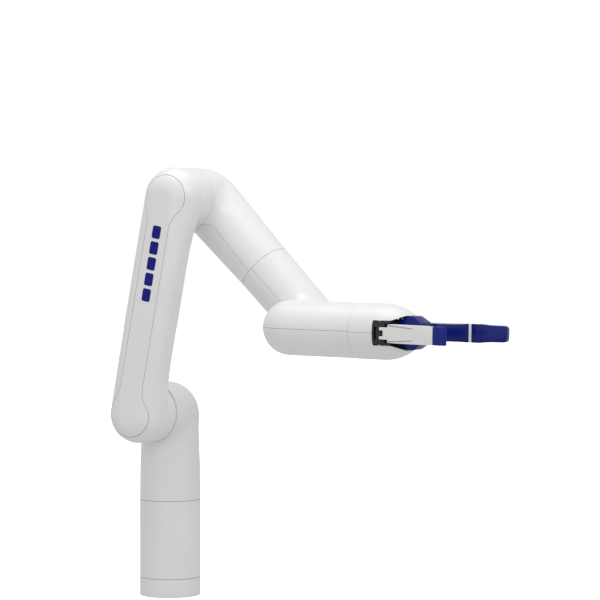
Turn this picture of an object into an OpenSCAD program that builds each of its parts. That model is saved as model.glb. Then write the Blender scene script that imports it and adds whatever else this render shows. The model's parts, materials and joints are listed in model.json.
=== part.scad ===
// Six-axis collaborative robot arm with a two-finger adaptive gripper.
// X points forward, Z up, and every pitch axis lies along Y. The origin is the
// centre of the mounting face, on the base axis.

/* [Base] */
// Outer radius of the base column
base_r = 55; // [53:0.5:58]
// Height of the foot collar
collar_h = 33; // [28:1:40]
// Height of the base rotation seam
joint1_z = 174; // [168:1:180]
// Pitch circle of the threaded mounting holes
mount_pcd = 80; // [74:1:84]
// Radius of each threaded mounting hole
mount_hole_r = 2.5; // [2:0.1:3]

/* [Arm lengths] */
// Height of the shoulder pitch axis
joint2_z = 334; // [326:1:342]
// Distance from shoulder pitch axis to elbow pitch axis
upper_arm_l = 390; // [380:1:400]
// Distance from elbow pitch axis to wrist pitch axis
forearm_l = 319; // [312:1:328]
// Distance from elbow pitch axis to the forearm roll seam
joint4_at = 175; // [170:1:180]
// Distance from wrist pitch axis to the hand roll seam
joint6_at = 143; // [138:1:148]

/* [Rest pose] */
// Forward lean of the upper arm from vertical
upper_arm_lean = 11; // [8:0.5:14]
// Direction of the forearm, measured forward from straight up
forearm_dir = 135; // [132:0.5:138]
// Downward pitch of the hand from horizontal
hand_pitch = 1.25; // [0:0.25:2]
// Roll of the gripper about the hand axis
hand_roll = 1; // [0:0.5:3]
// Outward opening of each finger at rest
finger_open = 9; // [7:0.5:11]
// Inward bend of the near fingertip at rest
near_tip_bend = 126; // [118:1:128]
// Inward bend of the far fingertip at rest
far_tip_bend = 2; // [0:0.5:4]

/* [Housings] */
// Wall thickness of the moulded housings
wall = 3; // [2.5:0.25:3.5]
// Gap at each rotation seam
seam = 0.8; // [0.6:0.1:1]
// Gap at each lengthwise parting line
parting = 0.4; // [0.3:0.05:0.5]
// Radius of the shoulder housing at the shoulder pitch seam
shoulder_r = 53; // [52:0.5:54]
// Radius of the elbow housing
elbow_r = 56; // [55:0.5:57]
// Radius of the forearm at its roll seam
forearm_r = 49; // [47:0.5:50]
// Radius of the wrist housing
wrist_r = 47; // [46:0.5:48]

/* [Fingers] */
// Distance from finger hinge to fingertip hinge
finger_l = 126; // [124:1:128]
// Length of the fingertip beyond its hinge
tip_l = 63; // [60:1:66]
// Width of a finger
finger_w = 31; // [30:0.5:32]

/* [Hidden] */
$fn = 64;
eps = 0.01;
far = 400;
white = [0.93, 0.93, 0.92];
blue = [0.06, 0.1, 0.55];
black = [0.09, 0.08, 0.08];
metal = [0.72, 0.73, 0.75];
dark_metal = [0.35, 0.36, 0.38];
green = [0.1, 0.35, 0.18];

// Lateral layout
side_seam_y = -60;                       // plane of the shoulder and elbow seams
drum_out_y = -126;                       // outer face of the upper arm at both axes
forearm_y = 4;                           // plane of the forearm axis
wrist_bend_r = 50;                       // forearm axis to wrist pitch seam
joint5_y = forearm_y - wrist_bend_r;     // plane of the wrist pitch seam
hand_y = joint5_y - 49;                  // plane of the hand axis

elbow_pos = [upper_arm_l * sin(upper_arm_lean), 0, joint2_z + upper_arm_l * cos(upper_arm_lean)];
wrist_pos = elbow_pos + forearm_l * [sin(forearm_dir), 0, cos(forearm_dir)] + [0, hand_y, 0];

// Drive units: a bearing in the parent, a hub on the child
bearing_l = 10;
hub_clear = 0.05;
flange_t = 6;
shell_fit = 0.2;    // between a flange and the housing it is screwed into

// Upper arm section
link_out_y = -140;
link_in_y = -86;
link_ramp = [40, 80];
arm_half_w = 45;
arm_corner = 14;
arm_edge = 9;
shoulder_drum_r = 52;
elbow_drum_r = 54;
cover_end_r = 41;
cover_half_w = 23;
cover_fillet = 55;
cover_gap = 0.6;
mark_w = 15;
mark_l = 20;
mark_pitch = 28;
mark_z = 216;
mark_count = 5;
mark_t = 0.6;

// Hand layout, measured forward from the wrist pitch axis
palm_r = 47.5;
palm_taper_x = joint6_at + 48;
palm_end_x = joint6_at + 103;
palm_arc_r = 84;
palm_pad_y = 17;
slot_x = joint6_at + 45;
slot_half_h = 25;
slot_floor_y = 15;
hinge_x = joint6_at + 56;
hinge_y = 38;
hinge_pin_r = 3;
tip_hinge_y = -1.5;
tip_half_t = 7;
hood_r = 10;
tip_pin_r = 1.5;

// ---------------------------------------------------------------- placement

module in_upper_arm() translate([0, 0, joint2_z]) rotate([0, upper_arm_lean, 0]) children();
module in_forearm() translate(elbow_pos) rotate([0, forearm_dir, 0]) children();
module in_wrist() translate(wrist_pos) rotate([0, hand_pitch, 0]) children();
module in_palm() in_wrist() rotate([hand_roll, 0, 0]) children();
// Finger frames: x along the finger, y outward. The near finger is the mirror image of the far one.
module in_finger(near) in_palm() mirror([0, near ? 1 : 0, 0])
    translate([hinge_x, hinge_y, 0]) rotate([0, 0, finger_open]) children();
module in_tip(near) in_finger(near)
    translate([finger_l, tip_hinge_y, 0]) rotate([0, 0, near ? -near_tip_bend : -far_tip_bend]) children();

// ---------------------------------------------------------------- shared shapes

// Cylinder along -Y from y = 0
module rod_y(r, l) rotate([90, 0, 0]) cylinder(r = r, h = l);
module rod_x(r, l) rotate([0, 90, 0]) cylinder(r = r, h = l);
module ring(r_out, r_in, h) difference() {
    cylinder(r = r_out, h = h);
    translate([0, 0, -1]) cylinder(r = r_in, h = h + 2);
}
// Drive unit pieces stand on the seam plane: the parent is below z = 0 and the child above it.
module bearing(r_out, bore_r) translate([0, 0, -seam / 2 - bearing_l]) ring(r_out, bore_r, bearing_l);
module motor(r, l) translate([0, 0, -seam / 2 - bearing_l - l]) {
    cylinder(r = r, h = l - 8);
    translate([0, 0, l - 8]) cylinder(r = r + 2, h = 8);
}
module flange(r, bore_r) translate([0, 0, seam / 2]) difference() {
    union() {
        cylinder(r = r, h = flange_t);
        translate([0, 0, -seam - bearing_l + 1.5]) cylinder(r = bore_r - hub_clear, h = bearing_l + flange_t - 1);
    }
    translate([0, 0, -20]) cylinder(r = 12, h = 40);
}
module box_to(a, b) translate(a) cube(b - a);

// ---------------------------------------------------------------- base

module base_plate() color(metal) difference() {
    cylinder(r = base_r - wall, h = 8);
    for (i = [0:3]) rotate([0, 0, 45 + 90 * i]) translate([mount_pcd / 2, 0, -1]) cylinder(r = mount_hole_r, h = 10);
}
module base_collar() color(white) difference() {
    rotate_extrude() difference() {
        union() {
            translate([base_r - wall, 3]) square([wall, collar_h - 3]);
            translate([base_r - wall, 0]) square([wall - 2.5, 3]);
            translate([base_r - 3, 3]) circle(r = 3);
        }
        translate([0, -1]) square([base_r - wall, collar_h + 2]);
    }
    box_to([-base_r - 5, -16, 11], [-base_r + 10, 16, 25]);
}
module base_tube() color(white) difference() {
    translate([0, 0, collar_h + 0.5]) cylinder(r = base_r, h = joint1_z - seam / 2 - collar_h - 0.5);
    translate([0, 0, collar_h]) cylinder(r = base_r - wall, h = joint1_z);
}
module base_screws() color(dark_metal)
    for (i = [0:3]) rotate([0, 0, 90 * i]) translate([mount_pcd / 2 + 2, 0, 8]) cylinder(r = 4, h = 3);
module base_controller() color(green) {
    box_to([-30, -32, 20], [32, 32, 22]);
    box_to([-20, -20, 22], [20, 20, 34]);
}
// Plain blanked connectors: a body and a raised face, round for power and square for data
module socket(y) box_to([-base_r + 3, y - 7, 11.5], [-base_r + 18, y + 7, 24.5]);
module power_socket() color(black) {
    socket(-8);
    translate([-base_r + 1.5, -8, 18]) rod_x(5, 4);
}
module data_socket() color(black) {
    socket(8);
    box_to([-base_r + 1.5, 4, 14], [-base_r + 4, 12, 22]);
}
module joint1() translate([0, 0, joint1_z]) children();
module joint1_motor() color(dark_metal) joint1() motor(43, 70);
module joint1_bearing() color(metal) joint1() bearing(base_r - wall, 38);

// ---------------------------------------------------------------- shoulder

module shoulder_body(off) {
    translate([0, 0, joint1_z + seam / 2 - off])
        cylinder(r1 = base_r - off, r2 = shoulder_r - off, h = joint2_z - joint1_z - seam / 2 + off);
    translate([0, 0, joint2_z]) sphere(r = shoulder_r + 1 - off);
    translate([0, 0, joint2_z]) rod_y(shoulder_r - off, -side_seam_y - seam / 2 + off);
}
module shoulder_shell() color(white) difference() {
    shoulder_body(0);
    shoulder_body(wall);
}
module joint1_flange() color(metal) joint1() flange(base_r - wall - 1, 38);
module joint2() translate([0, side_seam_y, joint2_z]) rotate([90, 0, 0]) children();
module joint2_motor() color(dark_metal) joint2() motor(42, 44);
module joint2_bearing() color(metal) joint2() bearing(shoulder_r - wall, 38);

// ---------------------------------------------------------------- upper arm
// Local frame: z along the arm, y = 0 in the plane of the base axis.

arm_in_y = side_seam_y - seam / 2;
module arm_drum(r, off) translate([0, drum_out_y, 0]) rotate([-90, 0, 0]) rotate_extrude() polygon([
    [0, off], [r - arm_edge - off / 3, off], [r - off, arm_edge + off / 3],
    [r - off, arm_in_y - drum_out_y - off], [0, arm_in_y - drum_out_y - off]
]);
// Cross-section of the link: a rectangle with cut corners, reduced by off all round
module arm_section(off) {
    o = link_out_y + off;
    i = link_in_y - off;
    w = arm_half_w - off;
    c = arm_corner - 0.586 * off;
    polygon([
        [-w + c, o], [w - c, o], [w, o + c], [w, i - c],
        [w - c, i], [-w + c, i], [-w, i - c], [-w, o + c]
    ]);
}
// Side view of the arm between outer depth o and inner depth i: it bows out between the axes
module arm_side(out, in) rotate([90, 0, 90]) translate([0, 0, -arm_half_w - 50]) linear_extrude(height = 2 * arm_half_w + 100)
    polygon([
        [in, -shoulder_drum_r], [drum_out_y + out, -shoulder_drum_r],
        [drum_out_y + out, link_ramp[0]], [link_out_y + out, link_ramp[1]],
        [link_out_y + out, upper_arm_l - link_ramp[1]], [drum_out_y + out, upper_arm_l - link_ramp[0]],
        [drum_out_y + out, upper_arm_l + elbow_drum_r], [in, upper_arm_l + elbow_drum_r]
    ]);
module arm_body(off) {
    intersection() {
        linear_extrude(height = upper_arm_l) arm_section(off);
        arm_side(off, 0);
    }
    arm_drum(shoulder_drum_r, off);
    translate([0, 0, upper_arm_l]) arm_drum(elbow_drum_r, off);
}
// Bone-shaped outline of the cover: round at both axes, narrow between them, with concave fillets.
// The points run up the right side of the lower half; the rest is their reflection.
function cover_side(g) =
    let (
        r = cover_end_r + g,
        f = cover_fillet - g,
        fx = cover_half_w + cover_fillet,
        fy = sqrt(pow(cover_end_r + cover_fillet, 2) - fx * fx),
        a = atan2(fy, fx)
    ) concat(
        [for (i = [0:16]) let (t = -90 + (90 + a) * i / 16) r * [cos(t), sin(t)]],
        [for (i = [1:8]) let (t = 180 + a - a * i / 8) [fx + f * cos(t), fy + f * sin(t)]]
    );
module cover_outline(g) {
    right = cover_side(g);
    n = len(right) - 1;
    polygon(concat(
        right,
        [for (i = [n:-1:0]) [right[i][0], upper_arm_l - right[i][1]]],
        [for (i = [1:n]) [-right[i][0], upper_arm_l - right[i][1]]],
        [for (i = [n:-1:1]) [-right[i][0], right[i][1]]]
    ));
}
module cover_prism(g, in) rotate([90, 0, 0]) translate([0, 0, -in]) linear_extrude(height = 60) cover_outline(g);
module upper_arm_shell() color(white) in_upper_arm() difference() {
    arm_body(0);
    arm_body(wall);
    cover_prism(cover_gap, drum_out_y + wall + 1);
    rod_y(shoulder_drum_r - wall - 0.2, 80);
    translate([0, 0, upper_arm_l]) rod_y(elbow_drum_r - wall - 0.2, 80);
}
module upper_arm_cover() color(white) in_upper_arm() intersection() {
    cover_prism(0, drum_out_y + wall);
    difference() {
        arm_side(0, 0);
        arm_side(wall, 10);
    }
}
module upper_arm_mark() color(blue) in_upper_arm()
    for (i = [0:mark_count - 1]) translate([0, link_out_y, mark_z + mark_pitch * i]) {
        box_to([-mark_w / 2, -mark_t, -mark_l / 2 + 3], [mark_w / 2, 0, mark_l / 2 - 3]);
        box_to([-mark_w / 2 + 3, -mark_t, -mark_l / 2], [mark_w / 2 - 3, 0, mark_l / 2]);
        for (sx = [-1, 1], sz = [-1, 1])
            translate([sx * (mark_w / 2 - 3), 0, sz * (mark_l / 2 - 3)]) rod_y(3, mark_t);
    }
module upper_arm_frame() color(metal) in_upper_arm() difference() {
    box_to([-22, -130, 82], [22, -96, upper_arm_l - 82]);
    box_to([-18, -126, 70], [18, -100, upper_arm_l - 70]);
}
module joint2_flange() color(metal) in_upper_arm() translate([0, side_seam_y, 0]) rotate([90, 0, 0])
    flange(shoulder_drum_r - wall - 0.5, 38);
module joint3() in_upper_arm() translate([0, side_seam_y, upper_arm_l]) rotate([-90, 0, 0]) children();
module joint3_motor() color(dark_metal) joint3() motor(42, 36);
module joint3_bearing() color(metal) joint3() bearing(elbow_drum_r - wall - 0.5, 38);

// ---------------------------------------------------------------- elbow
// Local frame: z along the forearm, x towards its underside. The under cover is the lower half
// past the elbow.

under_cover_z = 50;
cover_lean = 3.5;
module elbow_body(off) {
    translate([0, forearm_y, 0]) sphere(r = elbow_r - off);
    translate([0, forearm_y, 0]) rod_y(elbow_r - off, forearm_y - side_seam_y - seam / 2 + off);
    translate([0, forearm_y, 0]) cylinder(r1 = elbow_r - off, r2 = forearm_r - off, h = joint4_at - seam / 2 + off);
}
module elbow_wall() difference() {
    elbow_body(0);
    elbow_body(wall);
}
// The parting plane leans towards the underside, so the cover narrows along the forearm.
module under_half(g) translate([0, 0, under_cover_z]) rotate([0, cover_lean, 0])
    box_to([g, forearm_y - 70, g], [far, far, far]);
module elbow_shell() color(white) in_forearm() difference() {
    elbow_wall();
    under_half(0);
}
module elbow_under_cover() color(white) in_forearm() intersection() {
    elbow_wall();
    under_half(parting);
}
module joint3_flange() color(metal) in_forearm() translate([0, side_seam_y, 0]) rotate([-90, 0, 0])
    flange(elbow_r - wall - shell_fit, 38);
module joint4() in_forearm() translate([0, forearm_y, joint4_at]) children();
module joint4_motor() color(dark_metal) joint4() motor(36, 62);
module joint4_bearing() color(metal) joint4() bearing(forearm_r - wall, 32);

// ---------------------------------------------------------------- forearm

forearm_end_r = 47;
module forearm_body(off) {
    translate([0, forearm_y, joint4_at + seam / 2 - off])
        cylinder(r1 = forearm_r - off, r2 = forearm_end_r - off, h = forearm_l - joint4_at - seam / 2 + off);
    translate([0, forearm_y, forearm_l]) sphere(r = forearm_end_r - off);
    translate([0, forearm_y, forearm_l]) rod_y(forearm_end_r - off, wrist_bend_r - seam / 2 + off);
}
module forearm_wall() difference() {
    forearm_body(0);
    forearm_body(wall);
}
module forearm_upper_shell() color(white) in_forearm() intersection() {
    forearm_wall();
    box_to([-far, -far, 0], [-parting, far, 2 * far]);
}
module forearm_lower_shell() color(white) in_forearm() intersection() {
    forearm_wall();
    box_to([0, -far, 0], [far, far, 2 * far]);
}
module joint4_flange() color(metal) joint4() flange(forearm_r - wall - shell_fit, 32);
module joint5() in_forearm() translate([0, joint5_y, forearm_l]) rotate([90, 0, 0]) children();
module joint5_motor() color(dark_metal) joint5() motor(34, 34);
module joint5_bearing() color(metal) joint5() bearing(forearm_end_r - wall, 32);

// ---------------------------------------------------------------- wrist
// Local frame: x along the hand, origin where the wrist pitch axis meets the hand axis.

module wrist_body(off) {
    sphere(r = wrist_r - off);
    rotate([-90, 0, 0]) cylinder(r = wrist_r - off, h = joint5_y - hand_y - seam / 2 + off);
    rod_x(wrist_r - off, joint6_at - seam / 2 + off);
}
module wrist_wall() difference() {
    wrist_body(0);
    wrist_body(wall);
}
module wrist_upper_shell() color(white) in_wrist() intersection() {
    wrist_wall();
    box_to([-far, -far, parting], [far, far, far]);
}
module wrist_lower_shell() color(white) in_wrist() intersection() {
    wrist_wall();
    box_to([-far, -far, -far], [far, far, 0]);
}
module joint5_flange() color(metal) in_wrist() translate([0, joint5_y - hand_y, 0]) rotate([90, 0, 0])
    flange(wrist_r - wall - shell_fit, 32);
module joint6() translate([joint6_at, 0, 0]) rotate([0, 90, 0]) children();
module joint6_motor() color(dark_metal) in_wrist() joint6() motor(36, 62);
module joint6_bearing() color(metal) in_wrist() joint6() bearing(wrist_r - wall, 32);

// ---------------------------------------------------------------- palm

module palm_body(off) rotate([0, 90, 0]) rotate_extrude() {
    translate([0, joint6_at + seam / 2 - off]) square([palm_r - off, palm_taper_x - joint6_at - seam / 2 + off]);
    intersection() {
        translate([palm_r - palm_arc_r, palm_taper_x]) circle(r = palm_arc_r - off);
        translate([0, palm_taper_x - eps]) square([palm_r, palm_end_x - palm_taper_x + off]);
    }
}
module palm_wall() difference() {
    palm_body(0);
    palm_body(wall);
    for (s = [-1, 1]) scale([1, s, 1]) box_to([slot_x, slot_floor_y, -slot_half_h], [far, far, slot_half_h]);
    box_to([palm_end_x - 11.5, -palm_pad_y - 0.3, -29], [far, palm_pad_y + 0.3, 29]);
}
module palm_upper_shell() color(white) in_palm() intersection() {
    palm_wall();
    box_to([-far, -far, parting], [far, far, far]);
}
module palm_lower_shell() color(white) in_palm() intersection() {
    palm_wall();
    box_to([-far, -far, -far], [far, far, 0]);
}
module joint6_flange() color(metal) in_palm() joint6() flange(palm_r - wall - shell_fit, 32);
// Black frame: a bulkhead across the palm, a web between the fingers and two pairs of hinge lugs
module palm_frame() color(black) in_palm() difference() {
    union() {
        box_to([slot_x, -14, -20], [palm_end_x - 24, 14, 20]);
        for (s = [-1, 1]) scale([1, s, 1]) {
            for (z = [-22, 9.2]) {
                translate([hinge_x, hinge_y, z]) cylinder(r = 7.5, h = 12.8);
                box_to([slot_x + 1, 14 - eps, z], [hinge_x + 7.5, hinge_y, z + 12.8]);
                box_to([slot_x + 1, hinge_y - eps, z], [hinge_x, hinge_y + 4.5, z + 12.8]);
            }
            box_to([slot_x + 1, 14 - eps, -22], [slot_x + 3, hinge_y + 4, 22]);
        }
    }
    for (s = [-1, 1]) translate([hinge_x, s * hinge_y, -30]) cylinder(r = hinge_pin_r, h = 60);
}
// Blue pad on the front of the web: a lozenge seen from the side
module palm_pad() color(blue) in_palm() rotate([90, 0, 0]) translate([0, 0, -palm_pad_y])
    linear_extrude(height = 2 * palm_pad_y) polygon([
        [palm_end_x - 23.9, -21], [palm_end_x - 6, -28.5], [palm_end_x + 6, -28.5],
        [palm_end_x + 20, -22], [palm_end_x + 20, 22],
        [palm_end_x + 6, 28.5], [palm_end_x - 6, 28.5], [palm_end_x - 23.9, 21]
    ]);
module finger_drives() color(dark_metal) in_palm() for (s = [-1, 1]) translate([joint6_at + 9, s * 16, 0]) {
    rod_x(11, 30);
    translate([30, 0, 0]) rod_x(4, slot_x - joint6_at - 39);
}
module finger_hinge_pins() color(metal) in_palm()
    for (s = [-1, 1]) translate([hinge_x, s * hinge_y, -22]) cylinder(r = hinge_pin_r, h = 44);

// ---------------------------------------------------------------- fingers
// Finger frame: hinge at the origin, x along the finger, y outward, z along the hinge.

half_w = finger_w / 2;
module finger_link(near) color(black) in_finger(near) difference() {
    union() {
        translate([0, 0, -8.8]) cylinder(r = 7.5, h = 17.6);
        box_to([0, -4, -8.8], [14, 4, 8.8]);
        box_to([13, -4, -11], [finger_l - 18, 4, 11]);
        box_to([finger_l - 24, -6, -13.8], [finger_l - 17, 4, 13.8]);
        for (z = [-13.8, 12.2]) {
            box_to([finger_l - 18, -6, z], [finger_l, 3, z + 1.6]);
            translate([finger_l, tip_hinge_y, z]) cylinder(r = 4.5, h = 1.6);
        }
    }
    translate([0, 0, -30]) cylinder(r = hinge_pin_r + hub_clear, h = 60);
    translate([finger_l, tip_hinge_y, -30]) cylinder(r = tip_pin_r, h = 60);
}
// White back cover with a forked root and two side rails
module finger_cover(near) color(white) in_finger(near) difference() {
    union() {
        box_to([-3, 4, -10], [9, 9.5, 10]);
        box_to([8, 4, -half_w], [finger_l - 13, 8.5, half_w]);
        for (s = [-1, 1]) scale([1, 1, s]) box_to([18, -3, half_w - 3], [finger_l - 26, 4.5, half_w]);
    }
    box_to([-10, 0, -5], [6, 20, 5]);
    translate([0, 0, -20]) cylinder(r = 8, h = 40);
    for (s = [-1, 1]) scale([1, 1, s]) {
        box_to([-10, 0, 10.2], [18, 20, 30]);
        box_to([17, 4.4, 10.2], [74, 20, 11.4]);
    }
}
module finger_pad(near) color(blue) in_finger(near) translate([0, 0, -half_w]) linear_extrude(height = finger_w)
    polygon([[32, -4.1], [finger_l - 24.2, -4.1], [finger_l - 24.2, -6.1], [finger_l - 19, -6.1],
             [finger_l - 19, -8], [finger_l - 26, -11.1], [40, -11.1]]);
// Blue hood over the fingertip hinge: two cheeks, a back wall and a rounded end
module finger_knuckle(near) color(blue) in_finger(near) difference() {
    union() {
        translate([finger_l, tip_hinge_y, -half_w]) cylinder(r = hood_r, h = finger_w);
        box_to([finger_l - 12.8, tip_hinge_y, -half_w], [finger_l, tip_hinge_y + hood_r, half_w]);
    }
    translate([finger_l, tip_hinge_y, -half_w + 1.6]) cylinder(r = hood_r - 2, h = finger_w - 3.2);
    box_to([finger_l - 20, -40, -half_w + 1.6], [finger_l, tip_hinge_y + hood_r - 2, half_w - 1.6]);
    box_to([finger_l - 30, -40, -half_w - 1], [finger_l + 30, tip_hinge_y + 2.5, half_w + 1]);
}
module tip_pin(near) color(metal) in_finger(near)
    translate([finger_l, tip_hinge_y, -13.8]) cylinder(r = tip_pin_r, h = 27.6);

// Fingertip frame: hinge at the origin, inner face towards -y. The root is round, so it turns under the hood.
module tip_core(near) color(white) in_tip(near) difference() {
    union() {
        translate([0, 0, -11.9]) cylinder(r = 5, h = 23.8);
        box_to([0, -5, -10], [14, 1.5, 10]);
        box_to([13.9, -4, -10], [tip_l - 8, 4, 10]);
    }
    translate([0, 0, -20]) cylinder(r = tip_pin_r + hub_clear, h = 40);
}
module tip_pad(near) color(blue) in_tip(near) difference() {
    union() {
        box_to([14.1, -tip_half_t, -half_w], [tip_l - 7, tip_half_t, half_w]);
        box_to([3, -tip_half_t, -11.9], [14.2, -5.1, 11.9]);
        box_to([tip_l - 8, -tip_half_t, -half_w + 7], [tip_l, tip_half_t, half_w - 7]);
        for (s = [-1, 1]) translate([tip_l - 7, -tip_half_t, s * (half_w - 7)])
            rotate([-90, 0, 0]) cylinder(r = 7, h = 2 * tip_half_t);
    }
    box_to([12, -4.2, -10.2], [tip_l - 7.8, 4.2, 10.2]);
}

module near_finger_link() finger_link(true);
module near_finger_cover() finger_cover(true);
module near_finger_pad() finger_pad(true);
module near_finger_knuckle() finger_knuckle(true);
module near_tip_pin() tip_pin(true);
module near_tip_core() tip_core(true);
module near_tip_pad() tip_pad(true);
module far_finger_link() finger_link(false);
module far_finger_cover() finger_cover(false);
module far_finger_pad() finger_pad(false);
module far_finger_knuckle() finger_knuckle(false);
module far_tip_pin() tip_pin(false);
module far_tip_core() tip_core(false);
module far_tip_pad() tip_pad(false);

base_plate();
base_collar();
base_tube();
base_screws();
base_controller();
power_socket();
data_socket();
joint1_motor();
joint1_bearing();
shoulder_shell();
joint1_flange();
joint2_motor();
joint2_bearing();
upper_arm_shell();
upper_arm_cover();
upper_arm_mark();
upper_arm_frame();
joint2_flange();
joint3_motor();
joint3_bearing();
elbow_shell();
elbow_under_cover();
joint3_flange();
joint4_motor();
joint4_bearing();
forearm_upper_shell();
forearm_lower_shell();
joint4_flange();
joint5_motor();
joint5_bearing();
wrist_upper_shell();
wrist_lower_shell();
joint5_flange();
joint6_motor();
joint6_bearing();
palm_upper_shell();
palm_lower_shell();
joint6_flange();
palm_frame();
palm_pad();
finger_drives();
finger_hinge_pins();
near_finger_link();
near_finger_cover();
near_finger_pad();
near_finger_knuckle();
near_tip_pin();
near_tip_core();
near_tip_pad();
far_finger_link();
far_finger_cover();
far_finger_pad();
far_finger_knuckle();
far_tip_pin();
far_tip_core();
far_tip_pad();
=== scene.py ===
"""Looks of the six-axis robot arm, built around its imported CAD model.

The moulded housings are rounded fields (distance to a bent centre line, or a rounded box blended with
two drums), meshed, hollowed and cut at the seams. The gripper pieces are bevelled blocks. Lengths are
millimetres in each link's own frame until a piece is placed, in metres, in the row frame.
"""
import json
import math

import bmesh
import bpy
import numpy as np
from mathutils import Matrix, Vector


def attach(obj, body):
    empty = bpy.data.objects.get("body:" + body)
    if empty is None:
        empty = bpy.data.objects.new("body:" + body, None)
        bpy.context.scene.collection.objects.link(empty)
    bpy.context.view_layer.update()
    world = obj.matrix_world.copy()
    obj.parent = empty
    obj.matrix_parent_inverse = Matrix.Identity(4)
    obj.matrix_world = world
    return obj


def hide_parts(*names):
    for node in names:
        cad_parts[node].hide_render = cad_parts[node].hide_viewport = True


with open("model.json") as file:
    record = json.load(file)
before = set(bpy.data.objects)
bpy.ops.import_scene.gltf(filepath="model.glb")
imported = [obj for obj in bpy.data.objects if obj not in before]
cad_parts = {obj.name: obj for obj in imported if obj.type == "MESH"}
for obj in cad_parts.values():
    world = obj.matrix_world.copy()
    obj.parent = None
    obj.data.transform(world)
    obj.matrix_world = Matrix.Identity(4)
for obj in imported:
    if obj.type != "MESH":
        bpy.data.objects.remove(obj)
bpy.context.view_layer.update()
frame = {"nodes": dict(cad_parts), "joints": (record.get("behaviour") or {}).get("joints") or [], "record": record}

MM = 0.001
FAR = 600.0

# ------------------------------------------------------------------ link frames, from the joints

joint = {j["name"]: j for j in frame["joints"]}


def joint_mm(name):
    return Vector(joint[name]["pos_m"]) * 1000


shoulder_at = joint_mm("joint2_shoulder")
elbow_at = joint_mm("joint3_elbow")
roll_at = joint_mm("joint4_forearm_roll")
wrist_at = joint_mm("joint5_wrist")
hand_at = joint_mm("joint6_hand_roll")
JOINT1_Z = joint_mm("joint1_yaw").z
SIDE_SEAM = shoulder_at.y
HAND_Y = hand_at.y
FOREARM_Y = roll_at.y

upper_arm_vec = Vector((elbow_at.x - shoulder_at.x, 0, elbow_at.z - shoulder_at.z))
forearm_vec = Vector((wrist_at.x - elbow_at.x, 0, wrist_at.z - elbow_at.z))
ARM_L = upper_arm_vec.length
FOREARM_L = forearm_vec.length
JOINT4_AT = (roll_at - Vector((elbow_at.x, FOREARM_Y, elbow_at.z))).length
wrist_centre = Vector((wrist_at.x, HAND_Y, wrist_at.z))
JOINT6_AT = (hand_at - wrist_centre).length
WRIST_LEG = wrist_at.y - HAND_Y


def frame_of(origin, x_axis, z_axis):
    """Matrix of the frame with these axes, in millimetres."""
    z, x = Vector(z_axis).normalized(), Vector(x_axis).normalized()
    y = z.cross(x).normalized()
    x = y.cross(z)
    m = Matrix((x, y, z)).transposed().to_4x4()
    m.translation = origin
    return m


def level_x(z_axis):
    """The x axis square to z_axis in the plane of the arm."""
    return Vector((0, 1, 0)).cross(z_axis)


hand_axis = Vector(joint["joint6_hand_roll"]["axis"])
finger_axis = Vector(joint["far_finger_hinge"]["axis"])
IN_ROW = Matrix.Identity(4)
IN_ARM = frame_of(Vector((0, 0, shoulder_at.z)), level_x(upper_arm_vec), upper_arm_vec)
IN_FOREARM = frame_of(Vector((elbow_at.x, 0, elbow_at.z)), level_x(forearm_vec), forearm_vec)
IN_WRIST = frame_of(wrist_centre, hand_axis, hand_axis.cross(Vector((0, 1, 0))))
IN_PALM = frame_of(wrist_centre, hand_axis, finger_axis)
# Finger opening and fingertip bends at rest, and the places of their hinges, as in the CAD model
OPEN_DEG, NEAR_BEND_DEG, FAR_BEND_DEG = 9, 126, 2
HINGE_X, HINGE_Y = JOINT6_AT + 56, 38
FINGER_L, TIP_Y = 126, -1.5


def finger_frame(near):
    side = Matrix.Scale(-1 if near else 1, 4, (0, 1, 0))
    return IN_PALM @ side @ Matrix.Translation((HINGE_X, HINGE_Y, 0)) @ Matrix.Rotation(
        math.radians(OPEN_DEG), 4, "Z")


def tip_frame(near):
    bend = NEAR_BEND_DEG if near else FAR_BEND_DEG
    return finger_frame(near) @ Matrix.Translation((FINGER_L, TIP_Y, 0)) @ Matrix.Rotation(
        math.radians(-bend), 4, "Z")


# ------------------------------------------------------------------ fields


def row(*v):
    return np.array(v, float)


def smooth_min(a, b, k):
    h = np.clip(1 - np.abs(a - b) / k, 0, 1)
    return np.minimum(a, b) - h * h * k / 4


def smooth_step(v, lo, hi):
    t = np.clip((v - lo) / (hi - lo), 0, 1)
    return t * t * (3 - 2 * t)


# A fillet fades out over this distance from a ring seam, so that it never pushes past the seam's rim
RING_FADE = 1.0, 15.0


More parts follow.
